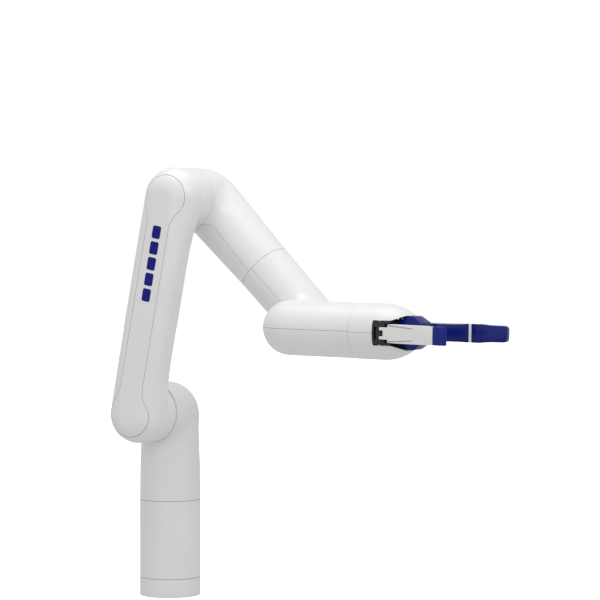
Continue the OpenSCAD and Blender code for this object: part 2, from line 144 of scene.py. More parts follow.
def bent_tube(corner, u, v, bend_r, profile, soft, ring):
    """Tube that runs along u to the corner, bends with radius bend_r and leaves along v.

    profile is a list of (distance along the centre line from the middle of the bend, radius).
    soft is the size of the fillet in the inner corner, which fades out at ring, a point and a
    direction away from it.
    """
    corner, u, v = row(*corner), row(*u), row(*v)
    centre = corner - u * bend_r + v * bend_r
    s_tab, r_tab = np.array(sorted(profile), float).T
    half = bend_r * math.pi / 4
    ring_at, ring_away = row(*ring[0]), row(*ring[1])

    def leg(p, start, direction, lo, hi):
        q = p - centre
        a = np.clip(np.arctan2(q @ u, -(q @ v)), lo, hi)
        from_arc = q - bend_r * (np.outer(np.sin(a), u) - np.outer(np.cos(a), v))
        t = np.maximum((p - start) @ direction, 0)
        from_line = p - start - np.outer(t, direction)
        d, d2 = np.linalg.norm(from_arc, axis=1), np.linalg.norm(from_line, axis=1)
        straight = d2 < d
        away = np.where(straight[:, None], from_line, from_arc)
        d = np.where(straight, d2, d)
        return d, np.where(straight, half + t, np.abs(a - math.pi / 4) * bend_r), away / (d[:, None] + 1e-6)

    def field(p):
        d1, s1, n1 = leg(p, corner - u * bend_r, -u, 0, math.pi / 4)
        d2, s2, n2 = leg(p, corner + v * bend_r, v, math.pi / 4, math.pi / 2)
        f1 = d1 - np.interp(-s1, s_tab, r_tab)
        f2 = d2 - np.interp(s2, s_tab, r_tab)
        crease = np.clip(1 - (n1 * n2).sum(1), 0, 1) * smooth_step((p - ring_at) @ ring_away, *RING_FADE)
        return smooth_min(f1, f2, soft * crease + 1e-6)

    return field


def turned(profile):
    """Solid of revolution about x, from (x, radius) pairs."""
    x_tab, r_tab = np.array(profile, float).T

    def field(p):
        return np.hypot(p[:, 1], p[:, 2]) - np.interp(p[:, 0], x_tab, r_tab)

    return field


SHOULDER_DRUM_R, ELBOW_DRUM_R = 52.0, 54.0
LINK_HALF_W, LINK_OUT, LINK_IN = 45.0, -141.0, -86.0
LINK_CORNER_OUT, LINK_CORNER_IN = 20.5, 14.0
FLARE_LENGTH, FLARE_CORNER = 55.0, 2.39
DRUM_IN = -45.0
DRUM_BLEND, BLEND_FROM, BLEND_TO = 10.0, -102.0, -88.0
END_SLOPE = 0.4


def outer_corner(half_width):
    """Edge radius of the outer face, larger where the link is wider, so that the outline stays straight."""
    return LINK_CORNER_OUT + FLARE_CORNER * (half_width - LINK_HALF_W)


def drum_field(p, z, r):
    """Drum about the joint axis at height z, with a rounded outer edge."""
    edge = outer_corner(r)
    rho = np.hypot(p[:, 0], p[:, 2] - z) - (r - edge)
    out = LINK_OUT + edge - p[:, 1]
    d = np.hypot(np.maximum(rho, 0), np.maximum(out, 0)) + np.minimum(np.maximum(rho, out), 0)
    return np.maximum(d - edge, p[:, 1] - DRUM_IN)


def arm_field(p):
    """Upper arm: a rounded link that widens into a drum at either end."""
    x, y, z = p.T
    near, far = np.clip(z, 0, ARM_L), ARM_L - np.clip(z, 0, ARM_L)
    wide = (LINK_HALF_W + (SHOULDER_DRUM_R - LINK_HALF_W) * np.exp(-(near / FLARE_LENGTH) ** 2)
            + (ELBOW_DRUM_R - LINK_HALF_W) * np.exp(-(far / FLARE_LENGTH) ** 2))
    mid = (LINK_OUT + LINK_IN) / 2
    corner = np.where(y < mid, np.minimum(outer_corner(wide), wide - 1), LINK_CORNER_IN)
    qx = np.abs(x) - (wide - corner)
    qy = np.where(y < mid, LINK_OUT + corner - y, y - (LINK_IN - corner))
    link = np.hypot(np.maximum(qx, 0), np.maximum(qy, 0)) + np.minimum(np.maximum(qx, qy), 0) - corner
    link = np.maximum(link, END_SLOPE * np.maximum(-z, z - ARM_L))
    drums = np.minimum(drum_field(p, 0, SHOULDER_DRUM_R), drum_field(p, ARM_L, ELBOW_DRUM_R))
    return smooth_min(link, drums, DRUM_BLEND * smooth_step(y, BLEND_FROM, BLEND_TO) + 0.001)


# ------------------------------------------------------------------ meshing


GRID_CHUNKS, NEWTON_STEPS = 12, 4


def boxed(field, lo, hi):
    """The field, closed off by a box."""
    centre, half = (lo + hi) / 2, (hi - lo) / 2
    return lambda p: np.maximum(field(p), (np.abs(p - centre) - half).max(1))


def nets(field, lo, hi, step, level=0.0):
    """Closed quad mesh of field = level inside a box, with every vertex moved onto the surface."""
    lo, hi = row(*lo), row(*hi)
    field = boxed(field, lo + 1.5 * step, hi - 1.5 * step)
    n = np.ceil((hi - lo) / step).astype(int) + 1
    axes = [lo[a] + step * np.arange(n[a]) for a in range(3)]
    grid = np.stack(np.meshgrid(*axes, indexing="ij"), -1).reshape(-1, 3)
    g = (np.concatenate([field(part) for part in np.array_split(grid, GRID_CHUNKS)]) - level).reshape(n)
    inside = g < 0
    total = np.zeros((*(n - 1), 3))
    count = np.zeros(n - 1)
    crossings = []
    for a in range(3):
        b, c = (a + 1) % 3, (a + 2) % 3
        first = [slice(None)] * 3
        second = [slice(None)] * 3
        first[a], second[a] = slice(0, -1), slice(1, None)
        g0, g1 = g[tuple(first)], g[tuple(second)]
        cross = inside[tuple(first)] != inside[tuple(second)]
        i, j, k = np.nonzero(cross)
        t = g0[cross] / (g0[cross] - g1[cross])
        at = np.stack([axes[0][i], axes[1][j], axes[2][k]], 1)
        at[:, a] += t * step
        index = np.stack([i, j, k], 1)
        for db in (0, 1):
            for dc in (0, 1):
                cell = index.copy()
                cell[:, b] -= db
                cell[:, c] -= dc
                np.add.at(total, tuple(cell.T), at)
                np.add.at(count, tuple(cell.T), 1)
        crossings.append((a, b, c, index, inside[tuple(first)][cross]))
    used = count > 0
    number = np.full(n - 1, -1)
    number[used] = np.arange(used.sum())
    verts = total[used] / count[used][:, None]
    faces = []
    for a, b, c, index, leaving in crossings:
        corners = []
        for db, dc in ((1, 1), (0, 1), (0, 0), (1, 0)):
            cell = index.copy()
            cell[:, b] -= db
            cell[:, c] -= dc
            corners.append(number[tuple(cell.T)])
        quad = np.stack(corners, 1)
        quad[~leaving] = quad[~leaving][:, ::-1]
        faces.append(quad)
    for _ in range(NEWTON_STEPS):
        value, slope = value_and_slope(field, verts)
        verts -= slope * ((value - level) / np.maximum((slope ** 2).sum(1), 1e-6))[:, None]
    return verts, np.concatenate(faces)


def value_and_slope(field, p, eps=0.05):
    slope = np.empty_like(p)
    for a in range(3):
        d = np.zeros(3)
        d[a] = eps
        slope[:, a] = (field(p + d) - field(p - d)) / (2 * eps)
    return field(p), slope


def linked(name, mesh):
    obj = bpy.data.objects.new(name, mesh)
    bpy.context.scene.collection.objects.link(obj)
    return obj


def new_object(name, verts, faces):
    mesh = bpy.data.meshes.new(name)
    mesh.from_pydata([tuple(v) for v in verts], [], [tuple(int(i) for i in f) for f in faces])
    return linked(name, mesh)


def from_bmesh(name, bm):
    mesh = bpy.data.meshes.new(name)
    bm.to_mesh(mesh)
    bm.free()
    return linked(name, mesh)


def discard(obj):
    mesh = obj.data
    bpy.data.objects.remove(obj)
    bpy.data.meshes.remove(mesh)


def combine(obj, other, operation):
    """Applies a boolean of other to obj, and removes other."""
    modifier = obj.modifiers.new("cut", "BOOLEAN")
    modifier.operation, modifier.solver, modifier.object = operation, "MANIFOLD", other
    dg = bpy.context.evaluated_depsgraph_get()
    made = bpy.data.meshes.new_from_object(obj.evaluated_get(dg))
    obj.modifiers.clear()
    old, obj.data = obj.data, made
    bpy.data.meshes.remove(old)
    discard(other)
    return obj


def copy_of(obj):
    made = obj.copy()
    made.data = obj.data.copy()
    bpy.context.scene.collection.objects.link(made)
    return made


def box_of(lo, hi):
    bm = bmesh.new()
    bmesh.ops.create_cube(bm, size=1)
    lo, hi = Vector(lo), Vector(hi)
    for v in bm.verts:
        v.co = Vector((lo[a] + (hi[a] - lo[a]) * (v.co[a] + 0.5) for a in range(3)))
    return from_bmesh("box", bm)


def prism(outline, a, b, plane="xy"):
    """Closed prism of a flat outline between a and b. plane names the outline's two axes."""
    bm = bmesh.new()
    place = {"xy": lambda p, h: (p[0], p[1], h), "xz": lambda p, h: (p[0], h, p[1]),
             "yz": lambda p, h: (h, p[0], p[1])}[plane]
    low = [bm.verts.new(place(p, a)) for p in outline]
    high = [bm.verts.new(place(p, b)) for p in outline]
    bm.faces.new(low)
    bm.faces.new(high)
    for i in range(len(low)):
        k = (i + 1) % len(low)
        bm.faces.new((low[i], low[k], high[k], high[i]))
    bmesh.ops.recalc_face_normals(bm, faces=bm.faces)
    return from_bmesh("prism", bm)


def bevel(obj, width, segments=2, angle=30):
    """Rounds the edges sharper than angle, in degrees."""
    bm = bmesh.new()
    bm.from_mesh(obj.data)
    bmesh.ops.remove_doubles(bm, verts=bm.verts, dist=1e-4)
    bmesh.ops.dissolve_limit(bm, angle_limit=math.radians(1), verts=bm.verts, edges=bm.edges)
    limit = math.radians(angle)
    sharp = [e for e in bm.edges if len(e.link_faces) == 2 and e.calc_face_angle(0) > limit]
    bmesh.ops.bevel(bm, geom=sharp, offset=width, offset_type="OFFSET", segments=segments,
                    profile=0.5, affect="EDGES", clamp_overlap=True)
    bm.to_mesh(obj.data)
    bm.free()
    return obj


def rounded(outline, radii, steps=6):
    """Outline with each corner rounded to its radius."""
    n = len(outline)
    if not hasattr(radii, "__len__"):
        radii = [radii] * n
    made = []
    for i, r in enumerate(radii):
        p, a, b = (Vector(outline[k % n]) for k in (i, i - 1, i + 1))
        if r <= 0:
            made.append(tuple(p))
            continue
        u, v = (a - p).normalized(), (b - p).normalized()
        half = u.angle(v) / 2
        reach = min(r / math.tan(half), (a - p).length * 0.49, (b - p).length * 0.49)
        r = reach * math.tan(half)
        centre = p + (u + v).normalized() * (r / math.sin(half))
        start, end = p + u * reach - centre, p + v * reach - centre
        sweep = start.angle_signed(end)
        for k in range(steps + 1):
            turn = -sweep * k / steps
            made.append((centre.x + start.x * math.cos(turn) - start.y * math.sin(turn),
                         centre.y + start.x * math.sin(turn) + start.y * math.cos(turn)))
    return made


def circle(x, y, r, steps=48):
    return [(x + r * math.cos(2 * math.pi * k / steps), y + r * math.sin(2 * math.pi * k / steps))
            for k in range(steps)]


def lathe(profile, steps=160):
    """Closed ring turned about z from a closed (radius, z) outline."""
    verts, faces, n = [], [], len(profile)
    for k in range(steps):
        a = 2 * math.pi * k / steps
        verts += [(r * math.cos(a), r * math.sin(a), z) for r, z in profile]
    for k in range(steps):
        for i in range(n):
            j, m = (i + 1) % n, (k + 1) % steps
            faces.append((k * n + i, m * n + i, m * n + j, k * n + j))
    obj = new_object("lathe", verts, faces)
    bm = bmesh.new()
    bm.from_mesh(obj.data)
    bmesh.ops.recalc_face_normals(bm, faces=bm.faces)
    bm.to_mesh(obj.data)
    bm.free()
    return obj


# ------------------------------------------------------------------ materials


class Graph:
    """A material's nodes, built left to right."""

    def __init__(self, name):
        self.material = bpy.data.materials.new(name)
        self.material.use_nodes = True
        self.nodes = self.material.node_tree.nodes
        self.links = self.material.node_tree.links
        self.shader = self.nodes["Principled BSDF"]
        self.place = self.add("ShaderNodeTexCoord").outputs["Object"]

    def add(self, kind, inputs=None, **settings):
        node = self.nodes.new(kind)
        for key, value in settings.items():
            setattr(node, key, value)
        for key, value in (inputs or {}).items():
            if isinstance(value, bpy.types.NodeSocket):
                self.links.new(value, node.inputs[key])
            else:
                node.inputs[key].default_value = value
        return node

    def noise(self, scale, detail=3.0, rough=0.5):
        made = self.add("ShaderNodeTexNoise", {"Vector": self.place, "Scale": scale, "Detail": detail,
                                               "Roughness": rough})
        return made.outputs["Fac"]

    def spread(self, value, lo, hi, a=0.3, b=0.7):
        made = self.add("ShaderNodeMapRange", {"Value": value, "From Min": a, "From Max": b,
                                               "To Min": lo, "To Max": hi})
        return made.outputs["Result"]

    def mix(self, fac, a, b):
        made = self.add("ShaderNodeMix", {"Factor": fac}, data_type="RGBA")
        for slot, value in ((6, a), (7, b)):
            if isinstance(value, bpy.types.NodeSocket):
                self.links.new(value, made.inputs[slot])
            else:
                made.inputs[slot].default_value = (*value, 1)
        return made.outputs[2]

    def bump(self, height, strength, distance, normal=None):
        inputs = {"Height": height, "Strength": strength, "Distance": distance}
        if normal is not None:
            inputs["Normal"] = normal
        return self.add("ShaderNodeBump", inputs).outputs["Normal"]

    def put(self, **sockets):
        names = {"colour": "Base Color", "roughness": "Roughness", "normal": "Normal",
                 "metallic": "Metallic", "coat": "Coat Weight", "coat_roughness": "Coat Roughness",
                 "specular": "Specular IOR Level"}
        for key, value in sockets.items():
            socket = self.shader.inputs[names[key]]
            if isinstance(value, bpy.types.NodeSocket):
                self.links.new(value, socket)
            else:
                socket.default_value = value
        return self.material


def shade_of(colour, factor):
    return tuple(c * factor for c in colour)


GRAIN_SCALE, GRAIN_DEPTH = 1800.0, 0.00001
# Colour factor of the painted shade in the seams, and roughness change on rubbed edges
SEAM_SHADE, EDGE_WEAR = 0.68, -0.048


def plastic(name, colour, rough, coat=0.0, blotch=0.03, specular=0.5):
    """Moulded plastic: slow colour drift, fine moulded grain, painted shade in the seams, rubbed edges."""
    g = Graph(name)
    drift = g.noise(9.0, 4.0)
    base = g.mix(g.spread(drift, 0, 1), shade_of(colour, 1 - blotch),
                 shade_of(colour, 1 + blotch * 0.5))
    fine = g.noise(420.0, 2.0)
    base = g.mix(g.spread(fine, 0, 0.25), base, shade_of(colour, 0.94))
    # Painted shade: the colour darkens where ambient occlusion finds nearby surfaces, in seams and creases
    near = g.add("ShaderNodeAmbientOcclusion", {"Distance": 0.004}, samples=8).outputs["AO"]
    base = g.mix(g.spread(near, 0.55, 0.0, 0.25, 0.85), base, shade_of(colour, SEAM_SHADE))
    edge = g.add("ShaderNodeNewGeometry").outputs["Pointiness"]
    rubbed = g.spread(edge, 0.0, 1.0, 0.53, 0.6)
    smear = g.noise(26.0, 5.0, 0.6)
    roughness = g.spread(smear, rough - 0.05, rough + 0.06)
    worn = g.add("ShaderNodeMath", {0: rubbed, 1: EDGE_WEAR, 2: roughness}, operation="MULTIPLY_ADD")
    orange = g.bump(g.noise(95.0, 2.0), 0.12, 0.0004)
    grain_n = g.bump(g.noise(GRAIN_SCALE, 2.0), 0.5, GRAIN_DEPTH, orange)
    return g.put(colour=base, roughness=worn.outputs[0], normal=grain_n, coat=coat, coat_roughness=0.25,
                 specular=specular)


def rubber(name, colour, rough):
    """Glossy moulded rubber with shallow dimples that catch the light, and painted shade in the dimples."""
    g = Graph(name)
    drift = g.noise(40.0, 4.0)
    base = g.mix(g.spread(drift, 0, 1), shade_of(colour, 0.8), shade_of(colour, 1.15))
    dimple = g.add("ShaderNodeTexVoronoi", {"Vector": g.place, "Scale": 210.0, "Randomness": 0.9},
                   feature="SMOOTH_F1").outputs["Distance"]
    # Painted shade: the colour darkens in the hollow middle of each dimple
    base = g.mix(g.spread(dimple, 0.2, 0.0, 0.0, 0.6), base, shade_of(colour, 0.6))
    wavy = g.bump(g.noise(85.0, 2.0), 0.35, 0.0012)
    fine = g.bump(dimple, 0.3, 0.0003, wavy)
    roughness = g.spread(g.noise(150.0, 3.0), rough - 0.06, rough + 0.1)
    return g.put(colour=base, roughness=roughness, normal=fine, coat=0.16, coat_roughness=0.08, specular=0.14)


def metal(name, colour, rough, turned_marks=True):
    """Machined metal: fine tool marks, drifting polish and darker corners from painted shade."""
    g = Graph(name)
    drift = g.noise(30.0, 4.0)
    base = g.mix(g.spread(drift, 0, 1), shade_of(colour, 0.86), colour)
    # Painted shade: the colour darkens where ambient occlusion finds nearby surfaces, in corners
    near = g.add("ShaderNodeAmbientOcclusion", {"Distance": 0.003}, samples=8).outputs["AO"]
    base = g.mix(g.spread(near, 0.6, 0.0, 0.3, 0.9), base, shade_of(colour, 0.4))
    roughness = g.spread(g.noise(220.0, 3.0), rough - 0.06, rough + 0.1)
    if turned_marks:
        lines = g.add("ShaderNodeTexWave", {"Vector": g.place, "Scale": 700.0, "Distortion": 1.5},
                      wave_type="RINGS", rings_direction="SPHERICAL").outputs["Fac"]
    else:
        lines = g.noise(900.0, 2.0)
    return g.put(colour=base, roughness=roughness, normal=g.bump(lines, 0.15, 0.00003), metallic=1.0)


def circuit_board(name, colour):
    """Board lacquer with a pattern of tracks."""
    g = Graph(name)
    tracks = g.add("ShaderNodeTexBrick", {"Vector": g.place, "Scale": 130.0, "Color1": (*colour, 1),
                                          "Color2": (*shade_of(colour, 0.7), 1),
                                          "Mortar": (*shade_of(colour, 1.6), 1), "Mortar Size": 0.03})
    base = g.mix(g.spread(g.noise(60.0), 0, 0.4), tracks.outputs["Color"], shade_of(colour, 0.5))
    return g.put(colour=base, roughness=g.spread(g.noise(300.0), 0.35, 0.55),
                 normal=g.bump(tracks.outputs["Fac"], 0.4, 0.0002))


WHITE = (0.80, 0.795, 0.785)
BLUE = (0.003, 0.011, 0.16)
BLACK = (0.012, 0.011, 0.011)
material = {
    "shell": plastic("shell_plastic", WHITE, 0.36, coat=0.12),
    "collar": plastic("collar_plastic", shade_of(WHITE, 0.97), 0.42),
    "mark": plastic("mark_print", (0.006, 0.012, 0.2), 0.55, blotch=0.1, specular=0.15),
    "alloy": metal("machined_alloy", (0.62, 0.63, 0.65), 0.36),
    "drive": metal("anodised_drive", (0.12, 0.125, 0.135), 0.45),
    "steel": metal("ground_steel", (0.56, 0.57, 0.58), 0.26, turned_marks=False),
    "board": circuit_board("circuit_board", (0.03, 0.16, 0.06)),
    "socket": plastic("socket_plastic", (0.02, 0.02, 0.022), 0.45, blotch=0.2),
    "frame": plastic("hinge_plastic", BLACK, 0.38, blotch=0.25),
    "pad": rubber("grip_rubber", BLUE, 0.3),
    "knuckle": plastic("hood_plastic", (0.008, 0.017, 0.2), 0.4, coat=0.03, blotch=0.12, specular=0.2),
}

slot_of = {s["node"]: s["material_slot"] for s in frame["record"]["subparts"]}
for node_name, node_object in frame["nodes"].items():
    node_object.data.materials.clear()
    node_object.data.materials.append(material[slot_of[node_name]])


SKIN_LIMIT, SKIN_DEPTH = math.cos(math.radians(40)), 0.05


def settle(obj, name, body, slot, matrix, field=None, replaced=(), sharp=32):
    """Names, shades, places and attaches a finished piece."""
    obj.name = obj.data.name = name
    mesh = obj.data
    for polygon in mesh.polygons:
        polygon.use_smooth = True
    if field is None:
        mesh.set_sharp_from_angle(angle=math.radians(sharp))
    else:
        shade_by_field(mesh, field)
    if matrix.determinant() < 0:
        mesh.flip_normals()
    mesh.transform(Matrix.Scale(MM, 4) @ matrix)
    mesh.materials.clear()
    mesh.materials.append(material[slot])
    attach(obj, body)
    if replaced:
        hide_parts(*replaced)
    return obj


def shade_by_field(mesh, field):
    """Corner normals from the field's slope on the outer skin, and flat elsewhere."""
    count = len(mesh.vertices)
    co = np.empty(count * 3, np.float32)
    mesh.vertices.foreach_get("co", co)
    value, slope = value_and_slope(field, co.reshape(-1, 3).astype(float))
    slope /= np.maximum(np.linalg.norm(slope, axis=1), 1e-9)[:, None]
    loops = np.empty(len(mesh.loops), np.int32)
    mesh.loops.foreach_get("vertex_index", loops)
    starts = np.empty(len(mesh.polygons), np.int32)
    totals = np.empty(len(mesh.polygons), np.int32)
    flat = np.empty(len(mesh.polygons) * 3, np.float32)
    mesh.polygons.foreach_get("loop_start", starts)
    mesh.polygons.foreach_get("loop_total", totals)
    mesh.polygons.foreach_get("normal", flat)
    face_normal = np.repeat(flat.reshape(-1, 3), totals, axis=0)
    normal = slope[loops]
    skin = (np.abs(value[loops]) < SKIN_DEPTH) & ((normal * face_normal).sum(1) > SKIN_LIMIT)
    normal = np.where(skin[:, None], normal, face_normal)
    mesh.normals_split_custom_set(normal.tolist())


# ------------------------------------------------------------------ housings

WALL = 3.0
SEAM, SIDE_GAP = 0.6, 0.4
PARTING = 0.5


def housing(field, lo, hi, step):
    """Hollow closed shell of a field, still uncut, meshed inside the box from lo to hi."""
    outer = new_object("outer", *nets(field, lo, hi, step))
    inner = new_object("inner", *nets(field, lo, hi, step, -WALL))
    return combine(outer, inner, "DIFFERENCE")


def halves(shell, axis, upper_side):
    """The upper and lower half of a shell, parted at 0 on an axis. upper_side is the upper one's sign."""
    lower = copy_of(shell)
    for half, side in ((shell, upper_side), (lower, -upper_side)):
        lo, hi = [-FAR] * 3, [FAR] * 3
        lo[axis], hi[axis] = sorted((side * PARTING / 2, side * FAR))
        combine(half, box_of(lo, hi), "INTERSECT")
    return shell, lower


def ring_profile(z0, z1, r, edge, foot=0.6):
    """Outline of a tube wall with rounded outer edges."""
    return rounded([(r - WALL, z0), (r, z0), (r, z1), (r - WALL, z1)], [0, foot, edge, 0], 5)


COLLAR_TOP = 33.0
BASE_R = 55.0
tube = lathe(ring_profile(COLLAR_TOP + 0.6, JOINT1_Z - SEAM / 2, BASE_R, 0.5, 0.5))
settle(tube, "base_tube_skin", "base", "shell", IN_ROW, replaced=["base_tube"])
collar = lathe(ring_profile(0, COLLAR_TOP, BASE_R, 0.5, 2.6))
window = prism(rounded([(-16, 11), (16, 11), (16, 25), (-16, 25)], 3), -BASE_R - 8, -BASE_R + 10, "yz")
combine(collar, bevel(window, 0.4), "DIFFERENCE")
settle(collar, "base_collar_skin", "base", "collar", IN_ROW, replaced=["base_collar"])

# Shoulder: up from the base, then round towards the upper arm
SHOULDER_BEND = 9.0
shoulder_mid = shoulder_at.z - SHOULDER_BEND + SHOULDER_BEND * math.pi / 4
shoulder_profile = [(s - shoulder_mid, r) for s, r in (
    (0, 55), (174, 55), (240, 54.2), (275, 52.8), (305, 52.0), (330, 53.0), (345, 54.6), (360, 55.2),
    (379, 54.4), (480, 54.4))]
shoulder_field = bent_tube((0, 0, shoulder_at.z), (0, 0, 1), (0, -1, 0), SHOULDER_BEND, shoulder_profile, 24,
                           ((0, SIDE_SEAM, 0), (0, 1, 0)))
shell = housing(shoulder_field, (-66, -100, 100), (66, 66, 402), 3.0)
combine(shell, box_of((-FAR, SIDE_SEAM + SIDE_GAP / 2, JOINT1_Z + SEAM / 2), (FAR, FAR, FAR)), "INTERSECT")
settle(shell, "shoulder_skin", "shoulder", "shell", IN_ROW, shoulder_field, ["shoulder_shell"])

# Upper arm: shell, bone-shaped cover and blue blocks
COVER_R, COVER_HALF, COVER_FILLET = 39.8, 23.0, 55.0


def cover_outline(g):
    """Round at both axes, narrow between them, with concave fillets."""
    r, f = COVER_R + g, COVER_FILLET - g
    fx = COVER_HALF + COVER_FILLET
    fy = math.sqrt((COVER_R + COVER_FILLET) ** 2 - fx * fx)
    a = math.atan2(fy, fx)
    quarter = [(r * math.cos(t), r * math.sin(t)) for t in np.linspace(-math.pi / 2, a, 28)]
    quarter += [(fx + f * math.cos(t), fy + f * math.sin(t))
                for t in np.linspace(math.pi + a, math.pi, 14)[1:]]
    right = quarter + [(x, ARM_L - z) for x, z in quarter[::-1]]
    return right + [(-x, z) for x, z in right[::-1][1:-1]]


COVER_DEPTH, COVER_GAP = -105.0, 0.35
ARM_LO, ARM_HI = (-62, -150, -62), (62, -36, ARM_L + 64)
shell = housing(arm_field, ARM_LO, ARM_HI, 2.6)
combine(shell, box_of((-FAR, -FAR, -FAR), (FAR, SIDE_SEAM - SIDE_GAP / 2, FAR)), "INTERSECT")
cover = copy_of(shell)
combine(cover, prism(cover_outline(-COVER_GAP), -FAR, COVER_DEPTH, "xz"), "INTERSECT")
combine(shell, prism(cover_outline(COVER_GAP), -FAR, COVER_DEPTH, "xz"), "DIFFERENCE")
settle(shell, "upper_arm_skin", "upper_arm", "shell", IN_ARM, arm_field, ["upper_arm_shell"])
settle(cover, "upper_arm_cover_skin", "upper_arm", "shell", IN_ARM, arm_field, ["upper_arm_cover"])

MARK_COUNT, MARK_PITCH, MARK_Z, MARK_W, MARK_L = 5, 28.0, 216.0, 17.0, 22.5
MARK_RISE, MARK_DEPTH = 0.3, 0.6
raised = new_object("raised", *nets(arm_field, ARM_LO, ARM_HI, 3.0, MARK_RISE))
sunk = new_object("sunk", *nets(arm_field, ARM_LO, ARM_HI, 3.0, -MARK_DEPTH))
blocks = None
for k in range(MARK_COUNT):
    z = MARK_Z + MARK_PITCH * k
    w, h = MARK_W / 2, MARK_L / 2
    block = prism(rounded([(-w, z - h), (w, z - h), (w, z + h), (-w, z + h)], 3.5), -FAR, -125, "xz")
    blocks = block if blocks is None else combine(blocks, block, "UNION")
combine(blocks, raised, "INTERSECT")
combine(blocks, sunk, "DIFFERENCE")
settle(blocks, "upper_arm_mark_skin", "upper_arm", "mark", IN_ARM, None, ["upper_arm_mark"], sharp=40)

# Elbow: from the side seam round into the forearm, with a separate cover underneath
ELBOW_R, ELBOW_BEND, ROLL_R, FOREARM_END_R, FOREARM_BEND = 55.0, 16.0, 49.0, 47.0, 10.0
half_arc = ELBOW_BEND * math.pi / 4
elbow_profile = [(-500, 54.1), (-62, 54.1), (-25, ELBOW_R), (half_arc, ELBOW_R), (half_arc + 70, 52.4),
                 (JOINT4_AT - ELBOW_BEND + half_arc, ROLL_R), (500, ROLL_R - 6)]
elbow_field = bent_tube((0, FOREARM_Y, 0), (0, 1, 0), (0, 0, 1), ELBOW_BEND, elbow_profile, 34,
                        ((0, SIDE_SEAM, 0), (0, 1, 0)))
shell = housing(elbow_field, (-62, -100, -62), (62, 66, JOINT4_AT + 25), 3.0)
combine(shell, box_of((-FAR, SIDE_SEAM + SIDE_GAP / 2, -FAR), (FAR, FAR, JOINT4_AT - SEAM / 2)), "INTERSECT")
COVER_START, COVER_LEAN = 50.0, math.tan(math.radians(3.5))


def under_cover(g):
    """Side view of the under cover: its front edge leans towards the underside."""
    end = JOINT4_AT + 60
    return rounded([(g, COVER_START + g), (FAR, COVER_START + g), (FAR, end),
                    (g + (end - COVER_START) * COVER_LEAN, end)], [24 - g, 0, 0, 0], 10)


under = copy_of(shell)
combine(under, prism(under_cover(PARTING / 2), -FAR, FAR, "xz"), "INTERSECT")
combine(shell, prism(under_cover(-PARTING / 2), -FAR, FAR, "xz"), "DIFFERENCE")
settle(shell, "elbow_skin", "elbow", "shell", IN_FOREARM, elbow_field, ["elbow_shell"])
settle(under, "elbow_under_cover_skin", "elbow", "shell", IN_FOREARM, elbow_field, ["elbow_under_cover"])

# Forearm: two halves from the roll seam to the wrist seam
half_arc = FOREARM_BEND * math.pi / 4
forearm_profile = [(-500, ROLL_R), (JOINT4_AT - FOREARM_L + FOREARM_BEND - half_arc, ROLL_R),
                   (-half_arc, FOREARM_END_R), (500, FOREARM_END_R)]
forearm_field = bent_tube((0, FOREARM_Y, FOREARM_L), (0, 0, 1), (0, -1, 0), FOREARM_BEND, forearm_profile, 26,
                          ((0, wrist_at.y, 0), (0, 1, 0)))
shell = housing(forearm_field, (-56, -90, JOINT4_AT - 25), (56, 60, FOREARM_L + 56), 3.0)
combine(shell, box_of((-FAR, wrist_at.y + SEAM / 2, JOINT4_AT + SEAM / 2), (FAR, FAR, FAR)), "INTERSECT")
upper, lower = halves(shell, 0, -1)
settle(upper, "forearm_upper_skin", "forearm", "shell", IN_FOREARM, forearm_field, ["forearm_upper_shell"])
settle(lower, "forearm_lower_skin", "forearm", "shell", IN_FOREARM, forearm_field, ["forearm_lower_shell"])

# Wrist: from the wrist seam round into the hand, in two halves
WRIST_R, WRIST_BEND = 47.0, 14.0
wrist_field = bent_tube((0, 0, 0), (0, -1, 0), (1, 0, 0), WRIST_BEND, [(-500, WRIST_R), (500, WRIST_R)], 26,
                        ((0, WRIST_LEG, 0), (0, -1, 0)))
shell = housing(wrist_field, (-56, -56, -54), (JOINT6_AT + 25, WRIST_LEG + 40, 54), 3.0)
combine(shell, box_of((-FAR, -FAR, -FAR), (JOINT6_AT - SEAM / 2, WRIST_LEG - SEAM / 2, FAR)), "INTERSECT")
upper, lower = halves(shell, 2, 1)
settle(upper, "wrist_upper_skin", "wrist", "shell", IN_WRIST, wrist_field, ["wrist_upper_shell"])
settle(lower, "wrist_lower_skin", "wrist", "shell", IN_WRIST, wrist_field, ["wrist_lower_shell"])

# Palm: a tube with a rounded nose and a slot in each flank
PALM_R, PALM_ARC = 47.5, 84.0
TAPER_X, PALM_END = JOINT6_AT + 48, JOINT6_AT + 103
SLOT_X, SLOT_FLOOR = JOINT6_AT + 45, 15.0
palm_profile = [(JOINT6_AT - 60, PALM_R)] + [
    (TAPER_X + d, PALM_R - PALM_ARC + math.sqrt(PALM_ARC ** 2 - d * d)) for d in range(76)]
palm_field = turned(palm_profile)
shell = housing(palm_field, (JOINT6_AT - 26, -54, -54), (PALM_END + 18, 54, 54), 2.6)
combine(shell, box_of((JOINT6_AT + SEAM / 2, -FAR, -FAR), (PALM_END, FAR, FAR)), "INTERSECT")
slot_half = [(SLOT_X, 21), (PALM_END - 27, 21), (PALM_END - 8, 29.2), (FAR, 29.2)]
slot_side = rounded([(x, -z) for x, z in slot_half] + slot_half[::-1], [2.5, 10, 10, 0, 0, 10, 10, 2.5])
for lo, hi in ((-FAR, -SLOT_FLOOR), (SLOT_FLOOR, FAR)):
    combine(shell, prism(slot_side, lo, hi, "xz"), "DIFFERENCE")
combine(shell, box_of((PALM_END - 11.5, -17.3, -29), (FAR, 17.3, 29)), "DIFFERENCE")
upper, lower = halves(shell, 2, 1)
settle(upper, "palm_upper_skin", "palm", "shell", IN_PALM, palm_field, ["palm_upper_shell"])
settle(lower, "palm_lower_skin", "palm", "shell", IN_PALM, palm_field, ["palm_lower_shell"])

# ------------------------------------------------------------------ gripper


def block(lo, hi, width=0.6, segments=2):
    return bevel(box_of(lo, hi), width, segments)


def union(*parts):
    made = parts[0]
    for part in parts[1:]:
        combine(made, part, "UNION")
    return made


